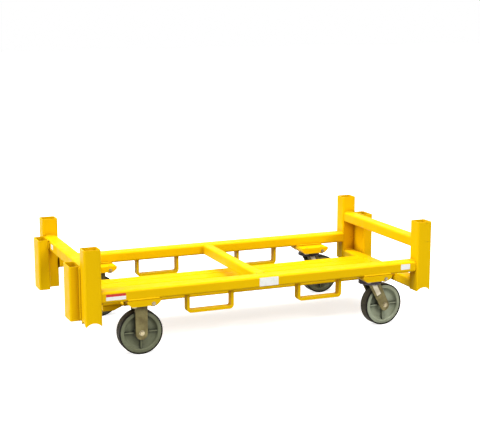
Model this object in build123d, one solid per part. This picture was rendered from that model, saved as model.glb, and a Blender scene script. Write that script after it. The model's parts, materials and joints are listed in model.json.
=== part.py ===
from build123d import *
import math
import os

os.makedirs("parts", exist_ok=True)

# Low steel stud cart. Length runs along X, width along Y and height along Z, in millimetres.
# The origin is on the floor under the middle of the cart. Rigid casters carry the left end,
# swivel casters the right end. Front is the -Y side.

# Overall size, over the corner posts
cart_length = 1721.7
cart_width = 856.7

# Rectangular steel tube: the outside corner radius, counted in walls
tube_corner_share = 2.0

# Corner posts
post_size = 76.2
post_wall = 4.8
post_height = 340.0
post_drop = 96.4
foot_arch_share = 0.6

# Side rails, end rails, the tube across the middle and the tube low between the right posts
rail_width = 76.2
rail_height = 50.8
rail_wall = 4.8
rail_inset = 12.7
end_rail_width = 63.5
end_rail_drop = 82.5
cross_tube_size = 50.8
cross_tube_shift = -4.0

# Lower deck of flat tubes
slat_count = 5
slat_height = 25.4
slat_wall = 3.2
slat_gap = 4.8
deck_from_side = 228.25
deck_from_left_end = 142.85
support_width = 50.8
gusset_thickness = 6.35
gusset_reach = 62.0
hanger_width = 38.1
hanger_thickness = 6.35
hanger_from_left_end = 220.35

# Stake pockets outside the end rails, beside the posts
pocket_depth = 54.0
pocket_width = 108.0
pocket_height = 243.0
pocket_wall = 4.8

# Loops of flat bar under the side rails
loop_length = 226.0
loop_height = 88.4
loop_bar_width = 38.1
loop_bar_thickness = 12.7
loop_corner_radius = 20.0
loop_spacing_share = 0.3188
loop_shift = 3.5

# Caster pads under the side rails
caster_inset = 87.05
rigid_caster_from_end = 268.85
swivel_caster_from_end = 285.85
pad_width = 152.4
pad_length = 158.75
pad_thickness = 12.7

# Top plates of the casters, whose ends slope in from the pad to the width underneath, and their bolts
plate_foot_width = 114.3
plate_thickness = 15.9
bolt_radius = 6.35
bolt_clearance = 0.4
bolt_spacing_x = 85.7
bolt_spacing_y = 133.35
bolt_end_gap = 1.2
hex_across_flats = 19.05
bolt_head_height = 5.5

# Swivel bearing and fork
race_height = 12.5
race_radius = 55.0
race_bore_radius = 40.0
running_gap = 0.3
pin_clearance = 0.05
kingpin_radius = 12.7
kingpin_head_radius = 19.0
kingpin_head_height = 5.0
crown_radius = 57.0
crown_thickness = 9.5
crown_clearance = 9.3
swivel_trail = 66.0
swivel_rest_angle = 6.0
swivel_leg_top_width = 66.0
rigid_leg_width = 58.0
rigid_crown_width = 50.8
leg_thickness = 7.9
leg_side_gap = 1.5
rigid_leg_end_radius = 28.0
swivel_leg_end_radius = 25.0
leg_end_drop = 4.0

# Wheels
wheel_diameter = 203.2
wheel_width = 50.8
tyre_thickness = 8.6
tyre_shoulder_radius = 5.0
rim_setback = 1.2
recess_radius = 80.0
web_radius = 64.0
web_thickness = 18.0
rib_count = 4
rib_thickness = 6.0
rib_setback = 7.0
hub_radius = 24.0
bearing_radius = 15.9
bearing_side_gap = 0.6
axle_radius = 6.35
axle_head_height = 8.0
axle_nut_height = 11.0
axle_end = 4.0

# Length by which a cutter runs past what it cuts
overrun = 5.0

# Heights, worked out from the floor up
wheel_radius = wheel_diameter / 2
crown_bottom = wheel_diameter + crown_clearance
crown_top = crown_bottom + crown_thickness
plate_bottom = crown_top + running_gap + race_height
plate_top = plate_bottom + plate_thickness
rail_bottom = plate_top + pad_thickness
rail_top = rail_bottom + rail_height
post_bottom = rail_bottom - post_drop
post_top = post_bottom + post_height
end_rail_top = post_top - end_rail_drop
lower_tube_top = post_bottom + rail_height
slat_bottom = lower_tube_top - slat_height
support_bottom = slat_bottom - slat_height

# Places along and across the cart
half_length = cart_length / 2
half_width = cart_width / 2
post_x = half_length - post_size / 2
post_y = half_width - post_size / 2
end_rail_inner_x = post_x - end_rail_width / 2
end_rail_outer_x = post_x + end_rail_width / 2
bay_x = half_length - post_size
bay_y = half_width - post_size
rail_y = half_width - rail_inset - rail_width / 2
rail_inner_y = rail_y - rail_width / 2
caster_y = half_width - caster_inset
rigid_caster_x = rigid_caster_from_end - half_length
swivel_caster_x = half_length - swivel_caster_from_end
deck_half_width = half_width - deck_from_side
slat_pitch = (2 * deck_half_width + slat_gap) / slat_count
slat_width = slat_pitch - slat_gap
deck_left = deck_from_left_end - half_length
slat_corner = slat_wall * tube_corner_share
gusset_outer_y = deck_half_width - slat_corner
hanger_x = hanger_from_left_end - half_length + hanger_width / 2
leg_inner_y = wheel_width / 2 + leg_side_gap
leg_outer_y = leg_inner_y + leg_thickness

sides = {"front": -1, "rear": 1}
ends = {"left": -1, "right": 1}


def tube_section(width, height, wall):
    """Cross-section of a rectangular tube with rounded corners."""
    radius = wall * tube_corner_share
    inner = RectangleRounded(width - 2 * wall, height - 2 * wall, radius - wall)
    return RectangleRounded(width, height, radius) - inner


def tube_along_x(x_from, x_to, y_mid, z_from, width, height, wall):
    """Tube lying along X, from one end to the other, at the height of its underside."""
    place = Plane.YZ.offset(x_from) * Pos(y_mid, z_from + height / 2)
    return extrude(place * tube_section(width, height, wall), x_to - x_from)


def tube_along_y(y_half, x_mid, z_from, width, height, wall):
    """Tube lying across the cart, centred on its long middle line."""
    place = Plane.XZ * Pos(x_mid, z_from + height / 2)
    return extrude(place * tube_section(width, height, wall), y_half, both=True)


def tube_upright(x_mid, y_mid, z_from, height, width, depth, wall):
    """Standing tube, open at both ends."""
    place = Plane.XY.offset(z_from) * Pos(x_mid, y_mid)
    return extrude(place * tube_section(width, depth, wall), height)


def hexagon_prism(height):
    """Bolt head or nut standing on the XY plane."""
    return extrude(RegularPolygon(hex_across_flats / 2, 6, major_radius=False), height)


def make_post(end, side):
    """Corner post with an arch cut in each of the two outer faces of its foot, for stacking."""
    x_mid = end * post_x
    y_mid = side * post_y
    post = tube_upright(x_mid, y_mid, post_bottom, post_height, post_size, post_size, post_wall)
    corner = post_wall * tube_corner_share
    tip = post_size / 2 - corner * (1 - math.sqrt(1 / 2))
    arch_radius = foot_arch_share * post_size
    arch_height = post_bottom - math.sqrt(arch_radius ** 2 - tip ** 2)
    reach = post_size / 2 + overrun
    arch = Cylinder(arch_radius, reach)
    post -= Pos(x_mid + end * reach / 2, y_mid, arch_height) * Rot(0, 90, 0) * arch
    post -= Pos(x_mid, y_mid + side * reach / 2, arch_height) * Rot(90, 0, 0) * arch
    return post


def make_side_rail(side):
    """Main rail between the posts of one long side."""
    return tube_along_x(-bay_x, bay_x, side * rail_y, rail_bottom, rail_width, rail_height, rail_wall)


def make_end_rail(end):
    """High rail between the posts of one end."""
    height = end_rail_top - rail_height
    return tube_along_y(bay_y, end * post_x, height, end_rail_width, rail_height, rail_wall)


def make_cross_tube():
    """Tube between the two side rails, flush with their tops."""
    height = rail_top - cross_tube_size
    return tube_along_y(rail_inner_y, cross_tube_shift, height, cross_tube_size, cross_tube_size, rail_wall)


def make_lower_end_tube():
    """Low tube between the right posts, which carries the right end of the deck."""
    return tube_along_y(bay_y, post_x, post_bottom, end_rail_width, rail_height, rail_wall)


def make_slat(index):
    """One flat tube of the deck, welded to the lower end tube."""
    y_mid = (index - (slat_count - 1) / 2) * slat_pitch
    return tube_along_x(deck_left, end_rail_inner_x, y_mid, slat_bottom, slat_width, slat_height, slat_wall)


def make_deck_support():
    """Flat tube under the left ends of the slats."""
    y_half = gusset_outer_y - gusset_thickness
    x_mid = deck_left + support_width / 2
    return tube_along_y(y_half, x_mid, support_bottom, support_width, slat_height, slat_wall)


def make_deck_gusset(side):
    """Plate that closes one end of the deck support and slopes up to the slat."""
    heel = deck_left + support_width
    outline = Polyline(
        (deck_left, support_bottom),
        (heel, support_bottom),
        (heel + gusset_reach, slat_bottom),
        (deck_left, slat_bottom),
        close=True,
    )
    plate = extrude(Plane.XZ * make_face(outline), gusset_thickness / 2, both=True)
    return Pos(0, side * (gusset_outer_y - gusset_thickness / 2), 0) * plate


def make_deck_hanger(side):
    """Bent flat bar from the inner edge of a caster pad to the edge of the deck."""
    pad_edge = caster_y - pad_length / 2
    foot_bottom = slat_bottom + (slat_height - hanger_thickness) / 2
    bend = pad_edge - hanger_thickness
    outline = Polyline(
        (deck_half_width, foot_bottom),
        (pad_edge, foot_bottom),
        (pad_edge, rail_bottom),
        (bend, rail_bottom),
        (bend, foot_bottom + hanger_thickness),
        (deck_half_width, foot_bottom + hanger_thickness),
        close=True,
    )
    hanger = Plane.YZ * make_face(outline)
    hanger = Pos(hanger_x, 0, 0) * extrude(hanger, hanger_width / 2, both=True)
    return hanger if side > 0 else mirror(hanger, Plane.XZ)


def make_stake_pocket(end, side):
    """Open rectangular socket on the outer face of an end rail, in the corner beside the post."""
    x_mid = end * (end_rail_outer_x + pocket_depth / 2)
    y_mid = side * (bay_y - pocket_width / 2)
    z_from = end_rail_top - pocket_height
    return tube_upright(x_mid, y_mid, z_from, pocket_height, pocket_depth, pocket_width, pocket_wall)


def loop_outline(length, height, radius):
    """Rectangle that hangs below the X axis, with its two lower corners rounded."""
    shape = Pos(0, -height / 2) * Rectangle(length, height)
    return fillet(shape.vertices().sort_by(Axis.Y)[:2], radius)


def make_fork_loop(end, side):
    """Loop of flat bar under a side rail, for the tines of a fork truck."""
    outer = loop_outline(loop_length, loop_height, loop_corner_radius)
    inner = loop_outline(
        loop_length - 2 * loop_bar_thickness,
        loop_height - loop_bar_thickness,
        loop_corner_radius - loop_bar_thickness,
    )
    loop = extrude(Plane.XZ * (outer - inner), loop_bar_width / 2, both=True)
    x_mid = loop_shift + end * loop_spacing_share * half_length
    return Pos(x_mid, side * rail_y, rail_bottom) * loop


def bolt_places():
    """Places of the four bolts about the centre of a caster plate."""
    return GridLocations(bolt_spacing_x, bolt_spacing_y, 2, 2)


def make_caster_pad():
    """Pad welded under a rail, tapped for the four caster bolts."""
    pad = Box(pad_width, pad_length, pad_thickness)
    for place in bolt_places():
        pad -= place * Cylinder(bolt_radius, pad_thickness + 2 * overrun)
    return Pos(0, 0, plate_top + pad_thickness / 2) * pad


def make_caster_plate(swivels):
    """Top plate of a caster, with bolt holes and a bore for the kingpin of a swivel caster."""
    outline = Polyline(
        (-plate_foot_width / 2, 0),
        (plate_foot_width / 2, 0),
        (pad_width / 2, plate_thickness),
        (-pad_width / 2, plate_thickness),
        close=True,
    )
    plate = extrude(Plane.XZ * make_face(outline), pad_length / 2, both=True)
    cut_height = plate_thickness + 2 * overrun
    middle = Pos(0, 0, plate_thickness / 2)
    for place in bolt_places():
        plate -= place * middle * Cylinder(bolt_radius + bolt_clearance, cut_height)
    if swivels:
        plate -= middle * Cylinder(kingpin_radius, cut_height)
    return Pos(0, 0, plate_bottom) * plate


def make_caster_bolt():
    """Bolt up through a caster plate into its pad."""
    shank_length = plate_thickness + pad_thickness - bolt_end_gap
    shank = Pos(0, 0, plate_bottom + shank_length / 2) * Cylinder(bolt_radius, shank_length)
    return shank + Pos(0, 0, plate_bottom - bolt_head_height) * hexagon_prism(bolt_head_height)


def make_swivel_bearing():
    """Ring of the swivel bearing under the top plate."""
    ring = Cylinder(race_radius, race_height) - Cylinder(race_bore_radius, race_height)
    return Pos(0, 0, plate_bottom - race_height / 2) * ring


def make_kingpin():
    """Pin riveted in the top plate, with its head under the crown of the fork."""
    head_top = crown_bottom - running_gap
    length = plate_top - head_top
    shank = Pos(0, 0, head_top + length / 2) * Cylinder(kingpin_radius, length)
    head = Pos(0, 0, head_top - kingpin_head_height / 2)
    return shank + head * Cylinder(kingpin_head_radius, kingpin_head_height)


def make_leg(top_width, leg_top, axle_x, end_radius):
    """One leg of a fork, standing across the Y axis, with a rounded lower end."""
    outline = make_hull(
        (
            Polyline((-top_width / 2, leg_top), (top_width / 2, leg_top)),
            Pos(axle_x, wheel_radius - leg_end_drop) * CenterArc((0, 0), end_radius, 0, 360),
        )
    )
    leg = extrude(Plane.XZ * outline, leg_thickness / 2, both=True)
    bore = Pos(axle_x, 0, wheel_radius) * Rot(90, 0, 0) * Cylinder(axle_radius + pin_clearance, leg_thickness + overrun)
    return leg - bore


def make_rigid_fork():
    """Two straight legs welded under a top plate, joined by a short crown."""
    leg = make_leg(rigid_leg_width, plate_bottom, 0, rigid_leg_end_radius)
    crown = Box(rigid_crown_width, 2 * leg_inner_y, crown_thickness)
    fork = Pos(0, 0, plate_bottom - crown_thickness / 2) * crown
    for side in sides.values():
        fork += Pos(0, side * (leg_outer_y + leg_inner_y) / 2, 0) * leg
    return fork


def make_swivel_fork():
    """Round crown under the bearing with two legs that lean back to the axle."""
    crown = Pos(0, 0, crown_top - crown_thickness / 2) * Cylinder(crown_radius, crown_thickness)
    leg = make_leg(swivel_leg_top_width, crown_top, swivel_trail, swivel_leg_end_radius)
    for side in sides.values():
        crown += Pos(0, side * (leg_outer_y + leg_inner_y) / 2, 0) * leg
    bore = Pos(0, 0, crown_top - crown_thickness / 2)
    return crown - bore * Cylinder(kingpin_radius + pin_clearance, crown_thickness + overrun)


def make_axle(outward):
    """Axle bolt along Y through both legs, with its head outboard and its nut inboard."""
    head = Rot(90, 0, 0) * hexagon_prism(axle_head_height)
    nut = Rot(-90, 0, 0) * (hexagon_prism(axle_nut_height) - Cylinder(axle_radius, 2 * axle_nut_height + overrun))
    reach = leg_outer_y + axle_nut_height + axle_end
    length = reach + leg_outer_y
    shank = Pos(0, (reach - leg_outer_y) / 2, 0) * Rot(90, 0, 0) * Cylinder(axle_radius, length)
    bolt = shank + Pos(0, -leg_outer_y, 0) * head
    parts = [bolt, Pos(0, leg_outer_y, 0) * nut]
    if outward > 0:
        parts = [Rot(0, 0, 180) * part for part in parts]
    return parts


def ring_about_y(points):
    """Solid of revolution about the Y axis, from an outline of radius and width."""
    return revolve(make_face(Polyline(*points, close=True)), Axis.Y)


def make_wheel_core():
    """Hub, web, ribs and rim of a wheel, with a dish in each face."""
    rim_radius = wheel_radius - tyre_thickness
    rim_half = wheel_width / 2 - rim_setback
    hub_half = wheel_width / 2
    web_half = web_thickness / 2
    half_points = [
        (bearing_radius, hub_half),
        (hub_radius, hub_half),
        (hub_radius, web_half),
        (web_radius, web_half),
        (recess_radius, rim_half),
        (rim_radius, rim_half),
    ]
    core = ring_about_y(half_points + [(radius, -width) for radius, width in reversed(half_points)])
    rib_start = (bearing_radius + hub_radius) / 2
    rib_length = recess_radius - rib_start
    rib = Box(rib_length, wheel_width - 2 * rib_setback, rib_thickness)
    for index in range(rib_count):
        turn = Rot(0, index * 360 / rib_count, 0)
        core += turn * Pos(rib_start + rib_length / 2, 0, 0) * rib
    bore = Rot(90, 0, 0) * Cylinder(bearing_radius, wheel_width + overrun)
    return core - bore


def make_tyre():
    """Tread moulded on the rim, with rounded shoulders."""
    rim_radius = wheel_radius - tyre_thickness
    section = Pos((wheel_radius + rim_radius) / 2, 0) * Rectangle(tyre_thickness, wheel_width)
    section = fillet(section.vertices().sort_by(Axis.X)[-2:], tyre_shoulder_radius)
    return revolve(section, Axis.Y)


def make_wheel_bearing():
    """Sleeve bearing pressed in the hub, which turns on the axle."""
    length = wheel_width + 2 * bearing_side_gap
    sleeve = Cylinder(bearing_radius, length) - Cylinder(axle_radius + pin_clearance, length)
    return Rot(90, 0, 0) * sleeve


def write(name, *solids):
    """Write one node as a STEP file."""
    shape = solids[0] if len(solids) == 1 else Compound(children=list(solids))
    export_step(shape, "parts/" + name + ".step")


def write_frame():
    """Posts, rails, deck, pockets and loops."""
    for end_name, end in ends.items():
        write("end_rail_" + end_name, make_end_rail(end))
        for side_name, side in sides.items():
            corner = side_name + "_" + end_name
            write("post_" + corner, make_post(end, side))
            write("stake_pocket_" + corner, make_stake_pocket(end, side))
            write("fork_loop_" + corner, make_fork_loop(end, side))
    for side_name, side in sides.items():
        write("side_rail_" + side_name, make_side_rail(side))
        write("deck_gusset_" + side_name, make_deck_gusset(side))
        write("deck_hanger_" + side_name, make_deck_hanger(side))
    write("cross_tube", make_cross_tube())
    write("lower_end_tube", make_lower_end_tube())
    write("deck_support_tube", make_deck_support())
    for index in range(slat_count):
        write("deck_slat_" + str(index + 1), make_slat(index))


def write_wheel(corner, place):
    """Core, tyre and bearing of one wheel, with the axle along the Y axis of its place."""
    axle = place * Pos(0, 0, wheel_radius)
    write("wheel_core_" + corner, axle * make_wheel_core())
    write("wheel_tyre_" + corner, axle * make_tyre())
    write("wheel_bearing_" + corner, axle * make_wheel_bearing())


def write_casters():
    """Pads, plates, forks, axles and wheels of the four casters."""
    bolts = []
    rigid_axles = []
    for side_name, side in sides.items():
        rigid = Pos(rigid_caster_x, side * caster_y, 0)
        swivel = Pos(swivel_caster_x, side * caster_y, 0)
        trailing = swivel * Rot(0, 0, swivel_rest_angle)
        for end_name, place in (("left", rigid), ("right", swivel)):
            corner = side_name + "_" + end_name
            write("caster_pad_" + corner, place * make_caster_pad())
            write("caster_plate_" + corner, place * make_caster_plate(end_name == "right"))
            bolts += [place * spot * make_caster_bolt() for spot in bolt_places()]
        write("rigid_fork_" + side_name, rigid * make_rigid_fork())
        write("swivel_bearing_" + side_name, swivel * make_swivel_bearing())
        write("kingpin_" + side_name, swivel * make_kingpin())
        write("swivel_fork_" + side_name, trailing * make_swivel_fork())
        lift = Pos(0, 0, wheel_radius)
        rigid_axles += [rigid * lift * part for part in make_axle(side)]
        axle_place = trailing * Pos(swivel_trail, 0, wheel_radius)
        write("swivel_axle_" + side_name, *[axle_place * part for part in make_axle(side)])
        write_wheel(side_name + "_left", rigid)
        write_wheel(side_name + "_right", trailing * Pos(swivel_trail, 0, 0))
    write("caster_bolts", *bolts)
    write("rigid_axles", *rigid_axles)


write_frame()
write_casters()
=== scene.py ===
"""Looks of a low steel stud cart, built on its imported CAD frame.

The cart is one yellow weldment on two rigid and two swivel casters. This file dresses each
solid in its finish, models the weld beads, labels, bolts, forks and wheels, and sets up a
plain studio.
"""

from __future__ import annotations

import json
import logging
import math
from dataclasses import dataclass
from enum import Enum

import bmesh
import bpy
from mathutils import Matrix, Vector

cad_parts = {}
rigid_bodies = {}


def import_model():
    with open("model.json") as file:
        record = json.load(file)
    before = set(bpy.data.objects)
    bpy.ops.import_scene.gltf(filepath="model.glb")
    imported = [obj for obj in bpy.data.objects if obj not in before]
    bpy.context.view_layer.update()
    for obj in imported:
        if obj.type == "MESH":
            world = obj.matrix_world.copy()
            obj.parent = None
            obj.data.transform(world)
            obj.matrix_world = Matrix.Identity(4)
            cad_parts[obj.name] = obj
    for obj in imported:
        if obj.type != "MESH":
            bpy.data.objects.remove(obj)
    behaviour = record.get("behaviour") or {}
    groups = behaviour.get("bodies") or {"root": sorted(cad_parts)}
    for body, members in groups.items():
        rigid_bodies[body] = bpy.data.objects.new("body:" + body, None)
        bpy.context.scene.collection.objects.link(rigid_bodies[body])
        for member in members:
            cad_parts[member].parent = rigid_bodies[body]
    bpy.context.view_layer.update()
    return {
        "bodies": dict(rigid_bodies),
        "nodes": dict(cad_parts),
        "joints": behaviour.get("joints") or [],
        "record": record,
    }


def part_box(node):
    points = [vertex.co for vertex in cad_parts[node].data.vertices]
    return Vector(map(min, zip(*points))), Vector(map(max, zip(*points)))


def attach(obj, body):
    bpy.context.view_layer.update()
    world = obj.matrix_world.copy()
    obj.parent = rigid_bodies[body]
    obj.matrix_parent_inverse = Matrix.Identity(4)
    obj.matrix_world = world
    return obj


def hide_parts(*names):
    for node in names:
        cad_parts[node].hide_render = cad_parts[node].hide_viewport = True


LOG = logging.getLogger("stud_cart")
MM = 0.001
QUARTER = math.pi / 2
WHITE = (1.0, 1.0, 1.0)

Colour = tuple[float, float, float]
Point = tuple[float, float, float]
Outline = list[tuple[float, float, float]]
Socket = bpy.types.NodeSocket
Node = bpy.types.Node
Material = bpy.types.Material
Mesh = bmesh.types.BMesh


class Way(Enum):
    """Direction from the middle of the cart, with the sign of its axis."""

    @property
    def word(self) -> str:
        """Name of the direction, as the nodes have it."""
        return self.name.lower()

    def outer(self, low: float, high: float) -> float:
        """Pick the limit that lies away from the middle of the cart."""
        return high if self.value > 0 else low

    def inner(self, low: float, high: float) -> float:
        """Pick the limit that lies toward the middle of the cart."""
        return low if self.value > 0 else high


class Side(Way):
    """Long sides of the cart, with the sign of their Y."""

    FRONT = -1
    REAR = 1


class End(Way):
    """Ends of the cart, with the sign of their X."""

    LEFT = -1
    RIGHT = 1


@dataclass(frozen=True)
class Corner:
    """Corner of the cart, where a side and an end meet."""

    side: Side
    end: End

    @property
    def name(self) -> str:
        """Name of the corner, as the nodes end with it."""
        return f"{self.side.word}_{self.end.word}"


CORNERS = tuple(Corner(side, end) for side in Side for end in End)


# Finishes


@dataclass(frozen=True)
class Patches:
    """Patches of soft noise, so many to a metre, that rise to a share from a low to a high noise."""

    scale: float
    detail: float
    low: float
    high: float
    share: float = 1.0
    stretch: Point = (1.0, 1.0, 1.0)


@dataclass(frozen=True)
class Relief:
    """Fine relief of soft noise, with its strength and the height in metres of a full step."""

    scale: float
    detail: float
    strength: float
    height: float
    stretch: Point = (1.0, 1.0, 1.0)


@dataclass(frozen=True)
class Band:
    """Reach in metres of wear or of painted shade, and the readings between which it rises to its share."""

    reach: float
    low: float
    high: float
    share: float = 1.0


class Nodes:
    """Node tree under construction."""

    def __init__(self, tree: bpy.types.NodeTree) -> None:
        """Start from an emptied tree."""
        self.tree = tree
        tree.nodes.clear()

    def node(self, kind: str, **settings: object) -> Node:
        """Add a node.

        Args:
            kind: Blender's name for the type of node.
            **settings: Properties to set on it.

        Returns:
            The new node.
        """
        made = self.tree.nodes.new(kind)
        for key, value in settings.items():
            setattr(made, key, value)
        return made

    def plug(self, node: Node, *firsts: object, **named: object) -> Node:
        """Fill a node's inputs with numbers, colours or other nodes' outputs.

        Args:
            node: Node whose inputs are filled.
            *firsts: Values for its first inputs, in their order.
            **named: Values for other inputs, by their names in lower case with underscores.

        Returns:
            The same node.
        """
        pairs = list(zip(node.inputs, firsts))
        for key, value in named.items():
            name = key.replace("_", " ")
            pairs.append((next(s for s in node.inputs if s.name.lower() == name and s.enabled), value))
        for socket, value in pairs:
            if isinstance(value, Socket):
                self.tree.links.new(value, socket)
            elif socket.type == "RGBA":
                socket.default_value = (*value, 1.0)
            else:
                socket.default_value = value
        return node

    def combine(self, kind: str, first: object, second: object) -> Socket:
        """Combine two values by the math node's operation of that kind."""
        return self.plug(self.node("ShaderNodeMath", operation=kind), first, second).outputs[0]

    def direct_view(self) -> Socket:
        """Tell rays that show the backdrop, straight or in a reflection, from the rest.

        Returns:
            Output socket, 1 for such a ray.
        """
        path = self.node("ShaderNodeLightPath").outputs
        indirect = self.combine("MAXIMUM", path["Is Glossy Ray"], path["Is Transmission Ray"])
        return self.combine("MAXIMUM", path["Is Camera Ray"], indirect)


class Graph(Nodes):
    """Node tree of one material, with a principled shader to fill in."""

    def __init__(self, name: str) -> None:
        """Start a material that holds only a shader and its output.

        Args:
            name: Name of the material.
        """
        self.material = bpy.data.materials.new(name)
        self.material.use_nodes = True
        super().__init__(self.material.node_tree)
        self.shader = self.node("ShaderNodeBsdfPrincipled")
        self.plug(self.node("ShaderNodeOutputMaterial"), self.shader.outputs["BSDF"])
        self.place = self.node("ShaderNodeTexCoord").outputs["Object"]

    def noise(self, kind: Patches | Relief) -> Socket:
        """Make the soft noise of patches or of a relief, on stretched object coordinates."""
        place = self.plug(self.node("ShaderNodeMapping"), vector=self.place, scale=kind.stretch).outputs[0]
        made = self.node("ShaderNodeTexNoise")
        return self.plug(made, vector=place, scale=kind.scale, detail=kind.detail).outputs[0]

    def ramp(self, value: Socket, low: float, high: float, start: float, stop: float) -> Socket:
        """Map the range from low to high smoothly to the range from start to stop."""
        made = self.node("ShaderNodeMapRange", interpolation_type="SMOOTHSTEP")
        return self.plug(made, value=value, from_min=low, from_max=high, to_min=start, to_max=stop).outputs[0]

    def patches(self, kind: Patches) -> Socket:
        """Lay patches, which read as their share, with 0 between them."""
        return self.ramp(self.noise(kind), kind.low, kind.high, 0.0, kind.share)

    def blend(self, factor: Socket, first: object, second: object) -> Socket:
        """Mix two colours, where the factor is the share of the second."""
        made = self.node("ShaderNodeMix", data_type="RGBA")
        return self.plug(made, factor=factor, a=first, b=second).outputs[2]

    def relief(self, kind: Relief, below: Socket | None = None) -> Socket:
        """Raise a relief.

        Args:
            kind: Noise, strength and height of the relief.
            below: Relief that this one lies on.

        Returns:
            Output socket that holds the normal.
        """
        made = self.node("ShaderNodeBump")
        self.plug(made, height=self.noise(kind), strength=kind.strength, distance=kind.height)
        if below is not None:
            self.plug(made, normal=below)
        return made.outputs[0]

    def corners(self, band: Band) -> Socket:
        """Find places that other surfaces crowd, which read as the band's share, with 0 in the open; the
        finishes paint shade there.
        """
        made = self.plug(self.node("ShaderNodeAmbientOcclusion", samples=8), distance=band.reach)
        return self.ramp(made.outputs["AO"], band.low, band.high, band.share, 0.0)

    def edges(self, band: Band) -> Socket:
        """Find sharp edges.

        Args:
            band: Reach from an edge, and the turns of the surface between which it counts.

        Returns:
            Output socket, the band's share on an edge and 0 elsewhere.
        """
        rounded_off = self.plug(self.node("ShaderNodeBevel", samples=6), radius=band.reach).outputs[0]
        plain = self.node("ShaderNodeNewGeometry").outputs["Normal"]
        dot = self.plug(self.node("ShaderNodeVectorMath", operation="DOT_PRODUCT"), rounded_off, plain)
        turn = self.combine("SUBTRACT", 1.0, dot.outputs["Value"])
        return self.ramp(turn, band.low, band.high, 0.0, band.share)

    def surface(self, tone: Socket, rough: Socket, normal: Socket, **more: float) -> Material:
        """Fill in the shader, and give the finished material."""
        self.plug(self.shader, base_color=tone, roughness=rough, normal=normal, **more)
        return self.material


@dataclass(frozen=True)
class Enamel:
    """Gloss enamel over welded steel, a little uneven, scuffed and worn at its edges, with shade painted into
    its corners.
    """

    name: str = "safety_yellow_enamel"
    colour: Colour = (0.92, 0.565, 0.001)
    thick_colour: Colour = (0.87, 0.53, 0.001)
    worn_colour: Colour = (0.42, 0.20, 0.012)
    corner_colour: Colour = (0.36, 0.14, 0.002)
    roughness: float = 0.39
    wear_roughness: float = 0.3
    shine: float = 0.045
    cloud: Patches = Patches(2.6, 4.0, 0.38, 0.66, 0.7)
    runs: Patches = Patches(9.0, 3.0, 0.42, 0.7, 0.35, (1.0, 1.0, 0.35))
    scuff: Patches = Patches(46.0, 5.0, 0.67, 0.76, 0.28, (0.35, 1.0, 1.0))
    rub: Patches = Patches(13.0, 6.0, 0.46, 0.62, 0.5)
    dull: Patches = Patches(22.0, 3.0, 0.3, 0.7, 0.15)
    edge: Band = Band(0.0016, 0.06, 0.32)
    crowding: Band = Band(0.055, 0.30, 0.88, 0.8)
    peel: Relief = Relief(260.0, 2.0, 0.10, 0.0006)
    wave: Relief = Relief(18.0, 2.0, 0.12, 0.004)

    def make(self) -> Material:
        """Build the material.

        Returns:
            The material, with its nodes in place.
        """
        g = Graph(self.name)
        tone = g.blend(g.patches(self.cloud), self.colour, self.thick_colour)
        tone = g.blend(g.patches(self.runs), tone, self.thick_colour)
        wear = g.combine("MULTIPLY", g.edges(self.edge), g.patches(self.rub))
        mark = g.combine("MAXIMUM", g.patches(self.scuff), wear)
        tone = g.blend(mark, tone, self.worn_colour)
        # Painted shade: the colour turns dark orange-brown where other surfaces crowd, in corners and under
        # rails.
        tone = g.blend(g.corners(self.crowding), tone, self.corner_colour)
        rough = g.combine("ADD", g.patches(self.dull), self.roughness)
        rough = g.combine("ADD", rough, g.combine("MULTIPLY", mark, self.wear_roughness))
        normal = g.relief(self.wave, g.relief(self.peel))
        return g.surface(tone, rough, normal, specular_ior_level=self.shine)


@dataclass(frozen=True)
class Plate:
    """Plated or bare steel, with streaks, stains, fine grain and shade painted into its corners."""

    name: str
    colour: Colour
    stain_colour: Colour
    roughness: float
    metallic: float = 0.85
    stain_share: float = 0.55
    stain_roughness: float = 0.22
    grime_colour: Colour = (0.03, 0.025, 0.015)
    stain: Patches = Patches(24.0, 5.0, 0.36, 0.66)
    speck: Patches = Patches(190.0, 3.0, 0.52, 0.72, 0.25)
    crowding: Band = Band(0.02, 0.25, 0.8, 0.8)
    grain: Relief = Relief(120.0, 4.0, 0.18, 0.0005, (1.0, 1.0, 0.2))

    def make(self) -> Material:
        """Build the material.

        Returns:
            The material, with its nodes in place.
        """
        g = Graph(self.name)
        stain = g.patches(self.stain)
        tone = g.blend(g.combine("MULTIPLY", stain, self.stain_share), self.colour, self.stain_colour)
        tone = g.blend(g.patches(self.speck), tone, self.stain_colour)
        # Painted shade: the colour turns near black where other surfaces crowd.
        tone = g.blend(g.corners(self.crowding), tone, self.grime_colour)
        rough = g.ramp(stain, 0.0, 1.0, self.roughness, self.roughness + self.stain_roughness)
        return g.surface(tone, rough, g.relief(self.grain), metallic=self.metallic)


@dataclass(frozen=True)
class Moulding:
    """Moulded wheel or tread, with dust, scuffs, a fine moulded skin and shade painted into its recesses."""

    name: str
    colour: Colour
    dust_colour: Colour
    shine: float
    roughness: float = 0.52
    dust: float = 0.4
    grime_colour: Colour = (0.022, 0.024, 0.016)
    cloud: Patches = Patches(17.0, 5.0, 0.36, 0.68)
    scuff: Patches = Patches(60.0, 6.0, 0.55, 0.72, 0.7)
    dull: Patches = Patches(40.0, 3.0, 0.3, 0.7, 0.18)
    crowding: Band = Band(0.028, 0.35, 0.92, 0.9)
    skin: Relief = Relief(420.0, 2.0, 0.16, 0.0005)

    def make(self) -> Material:
        """Build the material.

        Returns:
            The material, with its nodes in place.
        """
        g = Graph(self.name)
        tone = self.colour
        for kind in (self.cloud, self.scuff):
            tone = g.blend(g.combine("MULTIPLY", g.patches(kind), self.dust), tone, self.dust_colour)
        # Painted shade: the colour turns near black in the dish, by the ribs and by the legs.
        tone = g.blend(g.corners(self.crowding), tone, self.grime_colour)
        rough = g.combine("ADD", g.patches(self.dull), self.roughness)
        return g.surface(tone, rough, g.relief(self.skin), specular_ior_level=self.shine)


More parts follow.
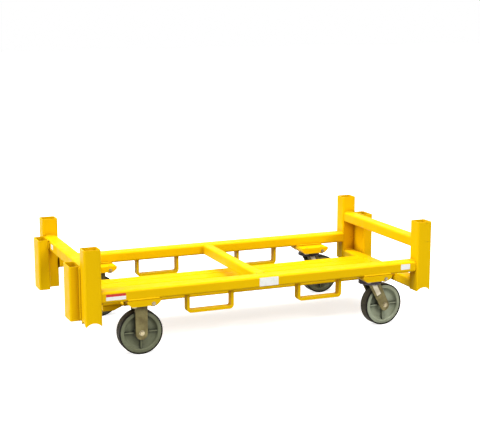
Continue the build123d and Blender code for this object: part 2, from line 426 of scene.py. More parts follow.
@dataclass(frozen=True)
class Film:
    """Printed film of a plain label, slightly dirty."""

    name: str
    colour: Colour
    dirt_colour: Colour
    roughness: float = 0.35
    dirt_roughness: float = 0.25
    shine: float = 0.4
    dirt_share: float = 0.4
    dirt: Patches = Patches(70.0, 5.0, 0.45, 0.75)
    ripple: Relief = Relief(150.0, 2.0, 0.08, 0.0004)

    def make(self) -> Material:
        """Build the material.

        Returns:
            The material, with its nodes in place.
        """
        g = Graph(self.name)
        dirt = g.patches(self.dirt)
        tone = g.blend(g.combine("MULTIPLY", dirt, self.dirt_share), self.colour, self.dirt_colour)
        rough = g.ramp(dirt, 0.0, 1.0, self.roughness, self.roughness + self.dirt_roughness)
        return g.surface(tone, rough, g.relief(self.ripple), specular_ior_level=self.shine)


class Finishes:
    """Materials of the cart, each made once."""

    def __init__(self) -> None:
        """Make every material."""
        self.enamel = Enamel().make()
        # The zinc paints its shade further from corners, which darkens the inner faces of the legs.
        self.zinc = Plate("yellow_zinc_plate", (0.175, 0.148, 0.052), (0.085, 0.06, 0.02), 0.42,
                          metallic=0.5, crowding=Band(0.06, 0.25, 0.8, 0.8)).make()
        # Lighter copy of the zinc for the stiffener tops: a painted highlight over rubbed plating.
        self.rubbed_zinc = Plate("rubbed_zinc_plate", (0.76, 0.70, 0.52), (0.30, 0.22, 0.13), 0.42,
                                 metallic=0.3, stain_share=0.4).make()
        self.bolt = Plate("plated_bolt_steel", (0.42, 0.36, 0.22), (0.13, 0.10, 0.05), 0.26).make()
        self.ground = Plate("ground_bearing_steel", (0.50, 0.50, 0.48), (0.20, 0.19, 0.17), 0.22).make()
        # Near-black greased steel for the races and swivel crowns, partly painted shade under the plates.
        self.race = Plate("greased_dark_steel", (0.045, 0.038, 0.045), (0.018, 0.014, 0.013), 0.32).make()
        self.core = Moulding("grey_green_wheel_core", (0.20, 0.215, 0.130), (0.115, 0.11, 0.06), 0.25).make()
        # Lighter copy of the wheel core for the front right wheel: painted light, where that wheel stands in
        # more light.
        self.dusty_core = Moulding("dusty_wheel_core", (0.40, 0.44, 0.31), (0.20, 0.20, 0.12), 0.25).make()
        self.tread = Moulding("black_moulded_tread", (0.008, 0.006, 0.004), (0.026, 0.023, 0.015), 0.1).make()
        self.worn_tread = Moulding("worn_tread", (0.045, 0.041, 0.028), (0.11, 0.10, 0.065), 0.15,
                                   roughness=0.62, dust=0.6).make()
        self.label = Film("white_label_film", (0.95, 0.96, 0.92), (0.66, 0.68, 0.56)).make()
        self.stripe = Film("red_label_stripe", (0.62, 0.02, 0.012), (0.30, 0.02, 0.01)).make()
        self.slots = {
            "frame_paint": self.enamel,
            "caster_paint": self.enamel,
            "fork_zinc": self.zinc,
            "bolt_steel": self.bolt,
            "wheel_core": self.core,
            "tyre": self.tread,
            "bearing_steel": self.ground,
            "race_dark": self.race,
        }


# Mesh tools


def placed_object(name: str, data: bpy.types.ID) -> bpy.types.Object:
    """Put an object with some data in the scene.

    Args:
        name: Name of the object.
        data: Its mesh, lamp or camera.

    Returns:
        The object.
    """
    made = bpy.data.objects.new(name, data)
    bpy.context.scene.collection.objects.link(made)
    return made


def settled(part: Mesh, name: str) -> bpy.types.Mesh:
    """Turn a mesh under construction into mesh data, which uses it up.

    Args:
        part: Mesh under construction.
        name: Name of the data.

    Returns:
        The mesh data.
    """
    data = bpy.data.meshes.new(name)
    part.to_mesh(data)
    part.free()
    return data


def aimed(place: Point | Vector, direction: Vector, axis: str = "Z") -> Matrix:
    """Place and turn that point an axis along a direction."""
    return Matrix.Translation(place) @ direction.to_track_quat(axis, "Y").to_matrix().to_4x4()


def moved(part: Mesh, matrix: Matrix) -> Mesh:
    """Move all of a mesh, and give it back."""
    bmesh.ops.transform(part, matrix=matrix, verts=part.verts)
    return part


def bevelled(part: Mesh, edges: list[bmesh.types.BMEdge], offset: float, segments: int = 2) -> Mesh:
    """Round some edges of a mesh, and give it back."""
    bmesh.ops.bevel(part, geom=edges, offset=offset, segments=segments, profile=0.5, affect="EDGES",
                    material=-1, clamp_overlap=True)
    return part


def soften(part: Mesh, offset: float, limit: float = 30.0) -> Mesh:
    """Round every edge that is sharper than a limit in degrees, and give the mesh back."""
    sharp = [e for e in part.edges if len(e.link_faces) == 2 and e.calc_face_angle(0.0) > math.radians(limit)]
    return bevelled(part, sharp, offset)


def block(size: Point, middle: Point) -> Mesh:
    """Make a block of a size about its middle."""
    part = bmesh.new()
    bmesh.ops.create_cube(part, size=1.0, matrix=Matrix.Translation(middle) @ Matrix.Diagonal((*size, 1.0)))
    return part


def column(radius: float, height: float, sides: int) -> Mesh:
    """Make a column that stands on the XY plane."""
    part = bmesh.new()
    bmesh.ops.create_cone(part, cap_ends=True, segments=sides, radius1=radius, radius2=radius, depth=height,
                          matrix=Matrix.Translation((0, 0, height / 2)))
    return part


def rise(edge: bmesh.types.BMEdge) -> float:
    """Height between the two ends of an edge."""
    return abs(edge.verts[0].co.z - edge.verts[1].co.z)


def hexagon(across: float, height: float, chamfer: float = 1.3 * MM) -> Mesh:
    """Make a bolt head or nut that stands on the XY plane, with the corners of its top turned off."""
    part = column(across / math.sqrt(3), height, 6)
    return bevelled(part, [e for e in part.edges if min(v.co.z for v in e.verts) > height / 2], chamfer)


def disc(radius: float, height: float, rounding: float, sides: int = 40) -> Mesh:
    """Make a round plate that stands on the XY plane, with rounded rims."""
    part = column(radius, height, sides)
    return bevelled(part, [e for e in part.edges if rise(e) < height / 2], rounding)


def rounded(points: Outline, steps: int = 4, reach: float = 0.45) -> list[tuple[float, float]]:
    """Round the corners of a closed outline.

    Args:
        points: Radius, width and rounding of each corner, in millimetres.
        steps: Parts of one rounded corner.
        reach: Largest share of a straight side that a rounding takes.

    Returns:
        Radius and width of the points of the rounded outline, in metres.
    """
    made = []
    for index, (x, y, size) in enumerate(points):
        if not size:
            made.append((x * MM, y * MM))
            continue
        corner = Vector((x, y))
        arms = [Vector(p[:2]) - corner for p in (points[index - 1], points[(index + 1) % len(points)])]
        start, stop = (arm.normalized() * min(size, arm.length * reach) for arm in arms)
        for step in range(steps + 1):
            t = step / steps
            spot = corner + start * (1 - t) ** 2 + stop * t ** 2
            made.append((spot.x * MM, spot.y * MM))
    return made


def mirrored(points: Outline) -> Outline:
    """Close half an outline, on the side of positive width, with its image on the other side."""
    return points + [(radius, -width, size) for radius, width, size in reversed(points)]


def turned(outline: list[tuple[float, float]], steps: int = 96) -> Mesh:
    """Turn a closed outline about the Y axis.

    Args:
        outline: Radius and width of its points, in metres.
        steps: Parts of a full turn.

    Returns:
        The mesh.
    """
    part = bmesh.new()
    verts = [part.verts.new((radius, width, 0.0)) for radius, width in outline]
    edges = [part.edges.new((a, b)) for a, b in zip(verts, verts[1:] + verts[:1])]
    bmesh.ops.spin(part, geom=verts + edges, cent=(0, 0, 0), axis=(0, 1, 0), angle=math.tau, steps=steps,
                   use_merge=True)
    bmesh.ops.recalc_face_normals(part, faces=part.faces)
    return part


def wrapped(part: Mesh, flatness: float = 0.6) -> Mesh:
    """Wrap all the points of a mesh in one convex skin with flat faces.

    Args:
        part: Mesh whose points count.
        flatness: Turn in degrees below which two faces become one.

    Returns:
        The same mesh, which holds only the skin.
    """
    hull = bmesh.ops.convex_hull(part, input=part.verts[:])
    skin = {f for f in hull["geom"] if isinstance(f, bmesh.types.BMFace)}
    bmesh.ops.delete(part, geom=[f for f in part.faces if f not in skin], context="FACES_ONLY")
    bmesh.ops.delete(part, geom=[e for e in part.edges if not e.link_faces], context="EDGES")
    bmesh.ops.delete(part, geom=[v for v in part.verts if not v.link_faces], context="VERTS")
    limit = math.radians(flatness)
    bmesh.ops.dissolve_limit(part, angle_limit=limit, verts=part.verts[:], edges=part.edges[:])
    bmesh.ops.recalc_face_normals(part, faces=part.faces)
    return part


class Piece:
    """A mesh under construction, which ends as one object of the cart."""

    def __init__(self, name: str) -> None:
        """Start an empty mesh for an object of that name."""
        self.name = name
        self.mesh = bmesh.new()

    def take(self, matrix: Matrix, *parts: Mesh) -> None:
        """Move meshes to their place and add them to this one.

        Args:
            matrix: Where they go.
            *parts: Meshes to add, which are used up.
        """
        for part in parts:
            data = settled(moved(part, matrix), self.name + "_part")
            self.mesh.from_mesh(data)
            bpy.data.meshes.remove(data)

    def finish(self, body: str, material: Material, slot: str = "", stands_for: str = "",
               sharp: float = 32.0, others: tuple[Material, ...] = ()) -> None:
        """Turn the mesh into an object that rides on a body.

        Args:
            body: Body that carries it.
            material: Its finish.
            slot: Material slot of the record, if it has one; not used.
            stands_for: Node of the solids that it replaces, if any.
            sharp: Angle in degrees past which an edge stays sharp.
            others: Finishes of the faces marked with material 1 and up.
        """
        limit = math.radians(sharp)
        for face in self.mesh.faces:
            face.smooth = True
        for edge in self.mesh.edges:
            edge.smooth = len(edge.link_faces) == 2 and edge.calc_face_angle(0.0) < limit
        data = settled(self.mesh, self.name)
        for finish in (material, *others):
            data.materials.append(finish)
        made = placed_object(self.name, data)
        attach(made, body)
        if stands_for:
            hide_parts(stands_for)
        LOG.info("%s: %d faces on %s", self.name, len(data.polygons), body)


# Weldment


@dataclass(frozen=True)
class Seam:
    """Straight weld from one end of its root to the other, rippled at each step of the torch."""

    start: Point
    stop: Point
    radius: float = 4.2 * MM
    ripple: float = 4.4 * MM
    depth: float = 0.13
    crest: float = 0.6
    taper: float = 1.4
    tip: float = 0.45
    sides: int = 10
    lap: int = 3

    def bead(self, piece: Piece) -> None:
        """Lay the bead, a round bar that swells at each ripple and tapers at its ends.

        Args:
            piece: Mesh that takes the bead.
        """
        run = Vector(self.stop) - Vector(self.start)
        length = run.length
        bar = column(self.radius, length, self.sides)
        bmesh.ops.subdivide_edges(bar, edges=[e for e in bar.edges if rise(e) > length / 2],
                                  cuts=max(2, round(length / self.ripple)) * self.lap - 1)
        for vert in bar.verts:
            z = vert.co.z
            end = max(0.0, min(1.0, min(z, length - z) / (self.taper * self.radius)))
            swell = 1 + self.depth * (abs(math.sin(math.pi * z / self.ripple)) - self.crest)
            swell *= self.tip + (1 - self.tip) * math.sqrt(end)
            vert.co.xy *= swell
        piece.take(aimed(self.start, run), bar)


@dataclass
class Weldment:
    """Beads that join the posts, rails, deck, pockets, loops and pads."""

    finishes: Finishes
    tube_corner: float = 9.6 * MM
    slat_corner: float = 6.4 * MM
    groove: float = 3.0 * MM
    setback: float = 2.0 * MM
    pad_setback: float = 2.5 * MM
    post_setback: float = 1.0 * MM
    flare_inset: float = 1.5 * MM
    far_share: float = 0.4
    loop_bar: float = 12.7 * MM
    thin_bead: float = 3.4 * MM
    rail_bead: float = 3.6 * MM
    deck_bead: float = 4.6 * MM
    flare_bead: float = 5.0 * MM
    pocket_bead: float = 6.5 * MM
    bead_sharp: float = 60.0
    slats: int = 5

    def build(self) -> None:
        """Lay the beads of every joint of the frame."""
        joints = {}
        kinds = {"post": self.post_seams, "pocket": self.pocket_seams, "loop": self.loop_seams,
                 "pad": self.pad_seams}
        for corner in CORNERS:
            joints |= {f"weld_{kind}_{corner.name}": seams(corner) for kind, seams in kinds.items()}
        joints["weld_cross_tube"] = self.cross_tube_seams()
        joints["weld_deck"] = self.deck_seams()
        for name, seams in joints.items():
            piece = Piece(name)
            for seam in seams:
                seam.bead(piece)
            piece.finish("frame", self.finishes.enamel, "frame_paint", sharp=self.bead_sharp)

    def post_seams(self, corner: Corner) -> list[Seam]:
        """Join one post to its side rail and its end rail, and at the right to the low tube.

        Args:
            corner: Corner that the post is at.

        Returns:
            The seams.
        """
        low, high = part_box(f"side_rail_{corner.side.word}")
        post_low, post_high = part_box(f"post_{corner.name}")
        x, outer = corner.end.outer(low.x, high.x), corner.side.outer(low.y, high.y)
        inner = corner.side.inner(post_low.y, post_high.y)
        toward = -corner.side.value
        near, far = outer + toward * self.tube_corner, inner - toward * self.tube_corner * self.far_share
        start, stop = low.z + self.tube_corner, high.z - self.tube_corner
        seams = [Seam((x, outer, start), (x, outer, stop), self.rail_bead)]
        seams += [Seam((x, near, z), (x, far, z)) for z in (high.z, low.z)]
        seams += self.end_tube_seams(f"end_rail_{corner.end.word}", inner, toward)
        if corner.end is End.RIGHT:
            seams += self.end_tube_seams("lower_end_tube", inner, toward)
        return seams

    def end_tube_seams(self, name: str, inner: float, toward: float) -> list[Seam]:
        """Join a tube that runs across the cart to the inner face of a post.

        Args:
            name: Node of the tube.
            inner: Y of the post's inner face.
            toward: Sign of Y from the post to the middle of the cart.

        Returns:
            The seams on the tube's top and its two faces.
        """
        low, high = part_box(name)
        start, stop = low.z + self.tube_corner, high.z - self.tube_corner
        y, inset = inner - toward * self.setback, self.groove + self.flare_inset
        seams = [Seam((low.x + self.tube_corner, inner, high.z), (high.x - self.tube_corner, inner, high.z))]
        seams += [Seam((x, y, start), (x, y, stop), self.flare_bead) for x in (low.x + inset, high.x - inset)]
        return seams

    def pocket_seams(self, corner: Corner) -> list[Seam]:
        """Join one stake pocket to the outer face of its end rail and to its post.

        Args:
            corner: Corner that the pocket is at.

        Returns:
            The seams.
        """
        low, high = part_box(f"stake_pocket_{corner.name}")
        rail_low, rail_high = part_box(f"end_rail_{corner.end.word}")
        post_low, post_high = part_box(f"post_{corner.name}")
        out = corner.end.value
        x = corner.end.outer(rail_low.x, rail_high.x) + out * self.groove
        start, stop = rail_low.z + self.tube_corner, rail_high.z - self.tube_corner
        seams = [Seam((x, y, start), (x, y, stop), self.flare_bead)
                 for y in (low.y + self.groove, high.y - self.groove)]
        x, z = x - out * 2 * self.groove, rail_low.z + self.groove
        start, stop = low.y + self.tube_corner, high.y - self.tube_corner
        seams.append(Seam((x, start, z), (x, stop, z), self.flare_bead))
        x = corner.end.outer(post_low.x, post_high.x) + out * self.post_setback
        y = corner.side.inner(post_low.y, post_high.y) + corner.side.value * self.groove
        start, stop = low.z + self.post_setback, high.z - self.post_setback
        seams.append(Seam((x, y, start), (x, y, stop), self.pocket_bead))
        return seams

    def loop_seams(self, corner: Corner) -> list[Seam]:
        """Join the two ends of a fork loop to the underside of its rail.

        Args:
            corner: Corner that the loop is near.

        Returns:
            The seams.
        """
        low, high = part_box(f"fork_loop_{corner.name}")
        spots = (low.x, low.x + self.loop_bar, high.x - self.loop_bar, high.x)
        return [Seam((x, low.y, high.z), (x, high.y, high.z), self.thin_bead) for x in spots]

    def pad_seams(self, corner: Corner) -> list[Seam]:
        """Join a caster pad to its rail, along both edges of the rail.

        Args:
            corner: Corner that the pad is at.

        Returns:
            The seams.
        """
        low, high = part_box(f"caster_pad_{corner.name}")
        rail_low, rail_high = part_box(f"side_rail_{corner.side.word}")
        start, stop, z = low.x + self.groove, high.x - self.groove, high.z + self.groove
        return [Seam((start, y, z), (stop, y, z), self.flare_bead)
                for y in (rail_low.y + self.pad_setback, rail_high.y - self.pad_setback)]

    def cross_tube_seams(self) -> list[Seam]:
        """Join the cross tube to the inner faces of the two side rails.

        Returns:
            The seams.
        """
        low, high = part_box("cross_tube")
        start, stop = low.z + self.tube_corner, high.z - self.tube_corner
        left, right = low.x + self.tube_corner, high.x - self.tube_corner
        seams = []
        for face, y in ((low.y, low.y - self.setback), (high.y, high.y + self.setback)):
            seams += [Seam((x, face, start), (x, face, stop)) for x in (low.x, high.x)]
            seams += [Seam((left, y, z), (right, y, z), self.flare_bead)
                      for z in (low.z + self.groove, high.z - self.groove)]
        return seams

    def deck_seams(self) -> list[Seam]:
        """Join the deck tubes to the low end tube and to their support.

        Returns:
            The seams.
        """
        tube_low, tube_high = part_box("lower_end_tube")
        support_low, support_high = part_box("deck_support_tube")
        seams = []
        for index in range(self.slats):
            low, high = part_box(f"deck_slat_{index + 1}")
            y0, y1 = low.y + self.slat_corner, high.y - self.slat_corner
            x, z = tube_low.x + self.setback, tube_high.z - self.groove
            seams.append(Seam((x, y0, z), (x, y1, z), self.deck_bead))
            seams.append(Seam((high.x, y0, low.z), (high.x, y1, low.z), self.thin_bead))
            y0, y1 = max(y0, support_low.y), min(y1, support_high.y)
            seams += [Seam((x, y0, low.z), (x, y1, low.z), self.thin_bead)
                      for x in (support_low.x + self.groove, support_high.x - self.groove)]
        return seams


# Casters


@dataclass(frozen=True)
class Wheel:
    """Moulded wheel with a dished face, four ribs and a tread, sizes in millimetres."""

    bore: float = 15.9
    hub: float = 24.5
    hub_half: float = 25.2
    web_half: float = 7.5
    dish: float = 68.0
    recess: float = 79.0
    rim: float = 96.4
    rim_half: float = 24.4
    tread: float = 101.6
    tread_half: float = 25.4
    shoulder: float = 4.2
    rib_half: float = 20.5
    rib_thickness: float = 5.6
    rib_rounding: float = 1.3
    rib_root: float = 4.0
    rib_tip: float = 1.5
    ribs: int = 4
    worn_half: float = 17.0
    worn_depth: float = 0.5
    core_sharp: float = 40.0
    tyre_sharp: float = 50.0

    def core(self) -> Mesh:
        """Turn the hub, web and side rings in one.

        Returns:
            The mesh.
        """
        half = [
            (self.bore, self.hub_half, 0.0),
            (self.hub, self.hub_half, 1.6),
            (self.hub + 3.5, self.web_half + 1.5, 3.0),
            (self.dish, self.web_half, 5.0),
            (self.recess - 3.0, self.web_half + 5.5, 3.0),
            (self.recess, self.rim_half - 1.0, 2.4),
            (self.recess + 3.4, self.rim_half, 1.6),
            (self.recess + 7.4, self.rim_half - 0.9, 1.2),
            (self.rim - 3.0, self.rim_half - 1.1, 1.0),
            (self.rim, self.rim_half - 2.4, 0.8),
        ]
        return turned(rounded(mirrored(half)))

    def rib(self, index: int) -> Mesh:
        """Make one rib from the hub to the wall of the dish, through the web.

        Args:
            index: Which of the ribs it is.

        Returns:
            The mesh.
        """
        start, stop = (self.hub - self.rib_root) * MM, (self.recess - self.rib_tip) * MM
        size = (stop - start, 2 * self.rib_half * MM, self.rib_thickness * MM)
        part = soften(block(size, ((start + stop) / 2, 0.0, 0.0)), self.rib_rounding * MM)
        return moved(part, Matrix.Rotation(index * math.tau / self.ribs, 4, "Y"))

    def tyre(self) -> Mesh:
        """Turn a tread with round shoulders, its rolling face marked as worn.

        Returns:
            The mesh.
        """
        half = [
            (self.rim - 1.4, self.tread_half - 4.0, 0.0),
            (self.rim, self.tread_half - 1.2, 0.8),
            (self.rim + 1.2, self.tread_half, 1.0),
            (self.tread, self.tread_half, self.shoulder),
            (self.tread, self.worn_half, 0.0),
        ]
        part = turned(rounded(mirrored(half), steps=6))
        for face in part.faces:
            spot = face.calc_center_median()
            rolling = math.hypot(spot.x, spot.z) > (self.tread - self.worn_depth) * MM
            face.material_index = int(rolling and abs(spot.y) < self.worn_half * MM)
        return part

    def build(self, corner: Corner, place: Matrix, finishes: Finishes) -> None:
        """Make the core and the tyre of one wheel.

        Args:
            corner: Corner that the wheel is at.
            place: Axle of the wheel, along its Y.
            finishes: Materials of the cart.
        """
        body = f"wheel_{corner.name}"
        core = Piece(f"moulded_core_{corner.name}")
        core.take(place, self.core(), *(self.rib(index) for index in range(self.ribs)))
        # Only the front right wheel takes the lighter core copy, which paints light on it.
        painted_light = corner == Corner(Side.FRONT, End.RIGHT)
        core.finish(body, finishes.dusty_core if painted_light else finishes.core, "wheel_core",
                    f"wheel_core_{corner.name}", self.core_sharp)
        tyre = Piece(f"moulded_tyre_{corner.name}")
        tyre.take(place, self.tyre())
        tyre.finish(body, finishes.tread, "tyre", f"wheel_tyre_{corner.name}", self.tyre_sharp,
                    (finishes.worn_tread,))


@dataclass(frozen=True)
class Fork:
    """Fork of one caster, sizes in millimetres about the point of the floor under its swivel."""

    top_width: float
    leg_top: float
    axle_reach: float
    end_radius: float
    end_height: float = 97.6
    end_sides: int = 48
    leg_gap: float = 26.9
    thickness: float = 7.9
    edge: float = 1.5
    rib_height: float = 0.0
    rib_root: float = 0.4
    rib_edge: float = 0.8
    rib_sharp: float = 12.0
    rib_width: float = 27.0
    rib_shift: float = -8.0
    rib_flank: float = 10.0
    rib_low: float = 153.0
    facet_turn: float = 0.95

    def leg(self, side: int) -> Mesh:
        """Make one leg with a round lower end and softened edges.

        Args:
            side: Sign of Y of the leg.

        Returns:
            The mesh.
        """
        part = bmesh.new()
        for depth in (self.leg_gap, self.leg_gap + self.thickness):
            y = side * depth * MM
            end = Matrix.Translation((self.axle_reach * MM, y, self.end_height * MM))
            bmesh.ops.create_circle(part, segments=self.end_sides, radius=self.end_radius * MM,
                                    matrix=end @ Matrix.Rotation(QUARTER, 4, "X"))
            top = Matrix.Translation((0.0, y, self.leg_top * MM))
            line = Matrix.Diagonal((self.top_width * MM / 2, 0.0, 1.0, 1.0))
            bmesh.ops.create_grid(part, x_segments=1, y_segments=1, size=1.0, matrix=top @ line)
        bmesh.ops.remove_doubles(part, verts=part.verts[:], dist=0.01 * MM)
        return soften(wrapped(part), self.edge * MM)

    def stiffener(self, side: int) -> Mesh:
        """Make the flat-topped rise pressed in the upper half of a leg, its top marked for the lighter zinc
        of a painted highlight.

        Args:
            side: Sign of Y of the leg.

        Returns:
            The mesh.
        """
        part = bmesh.new()
        face = side * (self.leg_gap + self.thickness - self.rib_root)
        high = side * (self.leg_gap + self.thickness + self.rib_height)
        lean = self.axle_reach / (self.leg_top - self.end_height)
        half, top, flank, foot = self.rib_width / 2, self.leg_top, self.rib_flank, self.rib_low
        for x, z, y in (
            (-half - flank, top, face), (half + flank, top, face), (-half, top, high), (half, top, high),
            (-half, foot, high), (half, foot + flank, high),
            (-half - flank, foot, face), (half + flank, foot + flank, face),
            (-half, foot - flank, face), (half, foot, face),
        ):
            part.verts.new(((x + self.rib_shift + lean * (top - z)) * MM, y * MM, z * MM))
        soften(wrapped(part), self.rib_edge * MM, self.rib_sharp).normal_update()
        for facet in part.faces:
            # Flat outward top: the lighter zinc, a painted highlight.
            facet.material_index = 2 if facet.normal.y * side > self.facet_turn else 0
        return part


@dataclass(frozen=True)
class Fastener:
    """Hexagon bolt, nut and washer of the casters, sizes in millimetres."""

    across: float = 19.05
    washer_radius: float = 12.6
    washer_height: float = 1.6
    washer_edge: float = 0.4
    shank: float = 6.35
    shank_edge: float = 1.0
    shank_sides: int = 28

    def head(self, height: float) -> list[Mesh]:
        """Make a washer and a hexagon, which together stand as high as the solid's head.

        Args:
            height: Height of both.

        Returns:
            The two meshes.
        """
        thickness = self.washer_height * MM
        cap = hexagon(self.across * MM, (height - self.washer_height) * MM)
        washer = disc(self.washer_radius * MM, thickness, self.washer_edge * MM)
        return [washer, moved(cap, Matrix.Translation((0, 0, thickness)))]

    def bar(self, start: float, length: float) -> Mesh:
        """Make a round shank with chamfered ends that stands at some height over the XY plane."""
        part = disc(self.shank * MM, length * MM, self.shank_edge * MM, self.shank_sides)
        return moved(part, Matrix.Translation((0, 0, start * MM)))


@dataclass
class Casters:
    """Wheels, forks and fasteners of the four casters, sizes in millimetres."""

    finishes: Finishes
    frame: dict
    wheel: Wheel = Wheel()
    fastener: Fastener = Fastener()
    rigid: Fork = Fork(58.0, 234.8, 0.0, 28.0)
    swivel: Fork = Fork(66.0, 221.0, 66.0, 25.0, rib_height=7.0)
    rigid_crown_length: float = 50.8
    rigid_crown_thickness: float = 9.5
    rigid_crown_lap: float = 1.0
    rigid_crown_edge: float = 1.0
    crown_bottom: float = 212.5
    crown_top: float = 222.0
    crown_radius: float = 57.0
    crown_bore: float = 12.75
    crown_rounding: float = 1.6
    crown_steps: int = 72
    head_height: float = 8.0
    nut_height: float = 11.0
    tail_length: float = 4.0
    plate_bolt_height: float = 5.5
    bolt_spacing_x: float = 85.7
    bolt_spacing_y: float = 133.35
    bolt_end_gap: float = 1.2
    edge_bolt: Fastener = Fastener(across=14.3, washer_radius=9.0)
    edge_bolt_height: float = 6.5
    edge_bolt_from_end: float = 33.0
    edge_bolt_drop: float = 7.0

    def build(self) -> None:
        """Make every caster."""
        places = self.axles()
        rigid_axles = Piece("rigid_axle_bolts")
        for corner in CORNERS:
            side, place = corner.side, places[corner.name]
            self.wheel.build(corner, place, self.finishes)
            if corner.end is End.LEFT:
                self.axle(rigid_axles, place, side)
                self.rigid_fork(side, place)
                continue
            axle = Piece(f"swivel_axle_bolt_{side.word}")
            self.axle(axle, place, side)
            axle.finish(f"swivel_{side.word}", self.finishes.bolt, "bolt_steel", f"swivel_axle_{side.word}")
            self.swivel_fork(side, place)
        rigid_axles.finish("frame", self.finishes.bolt, "bolt_steel", "rigid_axles")
        self.plate_bolts()
        self.edge_bolts()

    def axles(self) -> dict[str, Matrix]:
        """Find each axle from the joint of its wheel.

        Returns:
            Place of each axle by the name of its corner, with the axle along Y.
        """
        places = {}
        for joint in self.frame["record"]["behaviour"]["joints"]:
            if joint["child"].startswith("wheel_"):
                across, up = Vector(joint["axis"]), Vector((0, 0, 1))
                turn = Matrix((across.cross(up), across, up)).transposed().to_4x4()
                places[joint["child"].removeprefix("wheel_")] = Matrix.Translation(joint["pos_m"]) @ turn
        return places

    def axle(self, piece: Piece, place: Matrix, side: Side) -> None:
        """Put an axle bolt through both legs, its head outboard and its nut inboard.

        Args:
            piece: Mesh that takes them.
            place: Place of the axle.
            side: Long side that the caster is on.
        """
        reach = self.rigid.leg_gap + self.rigid.thickness
        shank = self.fastener.bar(-2 * reach, 2 * reach + self.nut_height + self.tail_length)
        for way, parts in (
            (side.value, self.fastener.head(self.head_height)),
            (-side.value, self.fastener.head(self.nut_height) + [shank]),
        ):
            turn = Matrix.Rotation(-way * QUARTER, 4, "X")
            piece.take(place @ Matrix.Translation((0, way * reach * MM, 0)) @ turn, *parts)

    def rigid_fork(self, side: Side, place: Matrix) -> None:
        """Make a rigid fork, its legs joined by a short crown.

        Args:
            side: Long side that it is on.
            place: Place of its axle.
        """
        spot = Matrix.Translation((place.translation.x, place.translation.y, 0.0))
        piece = Piece(f"formed_rigid_fork_{side.word}")
        piece.take(spot, self.rigid.leg(-1), self.rigid.leg(1))
        low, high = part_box(f"rigid_fork_{side.word}")
        thickness = self.rigid_crown_thickness * MM
        size = (self.rigid_crown_length * MM, (2 * self.rigid.leg_gap + self.rigid_crown_lap) * MM, thickness)
        crown = block(size, ((low.x + high.x) / 2, (low.y + high.y) / 2, high.z - thickness / 2))
        piece.take(Matrix.Identity(4), soften(crown, self.rigid_crown_edge * MM))
        piece.finish("frame", self.finishes.zinc, "fork_zinc", f"rigid_fork_{side.word}")

    def swivel_fork(self, side: Side, place: Matrix) -> None:
        """Make a swivel fork, with pressed legs under a round crown that is greased and darkened with painted
        shade.

        Args:
            side: Long side that it is on.
            place: Place of its axle.
        """
        turn = place.to_3x3().to_4x4()
        foot = place.translation - turn @ Vector((self.swivel.axle_reach * MM, 0, 0))
        spot = Matrix.Translation((foot.x, foot.y, 0.0)) @ turn
        piece = Piece(f"formed_swivel_fork_{side.word}")
        for way in (-1, 1):
            piece.take(spot, self.swivel.leg(way), self.swivel.stiffener(way))
        outline = [
            (self.crown_bore, self.crown_bottom, 0.0),
            (self.crown_radius, self.crown_bottom, self.crown_rounding),
            (self.crown_radius, self.crown_top, self.crown_rounding),
            (self.crown_bore, self.crown_top, 0.0),
        ]
        crown = moved(turned(rounded(outline), self.crown_steps), Matrix.Rotation(QUARTER, 4, "X"))
        # The crown takes the near-black greased steel, partly painted shade.
        for face in crown.faces:
            face.material_index = 1
        piece.take(spot, crown)
        piece.finish(f"swivel_{side.word}", self.finishes.zinc, "fork_zinc", f"swivel_fork_{side.word}",
                     others=(self.finishes.race, self.finishes.rubbed_zinc))

    def plate_bolts(self) -> None:
        """Put the bolts up through the four caster plates into their pads."""
        piece = Piece("plate_bolts")
        half_x, half_y = self.bolt_spacing_x * MM / 2, self.bolt_spacing_y * MM / 2
        upside_down = Matrix.Rotation(math.pi, 4, "X")
        for corner in CORNERS:
            low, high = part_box(f"caster_plate_{corner.name}")
            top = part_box(f"caster_pad_{corner.name}")[1].z - self.bolt_end_gap * MM
            middle = (low + high) / 2
            for x, y in ((-half_x, -half_y), (-half_x, half_y), (half_x, -half_y), (half_x, half_y)):
                spot = Matrix.Translation((middle.x + x, middle.y + y, low.z))
                piece.take(spot, self.fastener.bar(0.0, (top - low.z) / MM))
                piece.take(spot @ upside_down, *self.fastener.head(self.plate_bolt_height))
        piece.finish("frame", self.finishes.bolt, "bolt_steel", "caster_bolts")

    def edge_bolts(self) -> None:
        """Put a bolt in the edge of each mount, at the right of the face that looks to the front."""
        piece = Piece("mount_edge_bolts")
        for corner in CORNERS:
            low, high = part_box(f"caster_pad_{corner.name}")
            x, z = high.x - self.edge_bolt_from_end * MM, low.z - self.edge_bolt_drop * MM
            spot = Matrix.Translation((x, low.y, z)) @ Matrix.Rotation(QUARTER, 4, "X")
            piece.take(spot, *self.edge_bolt.head(self.edge_bolt_height))
        piece.finish("frame", self.finishes.bolt, "bolt_steel")


# Labels


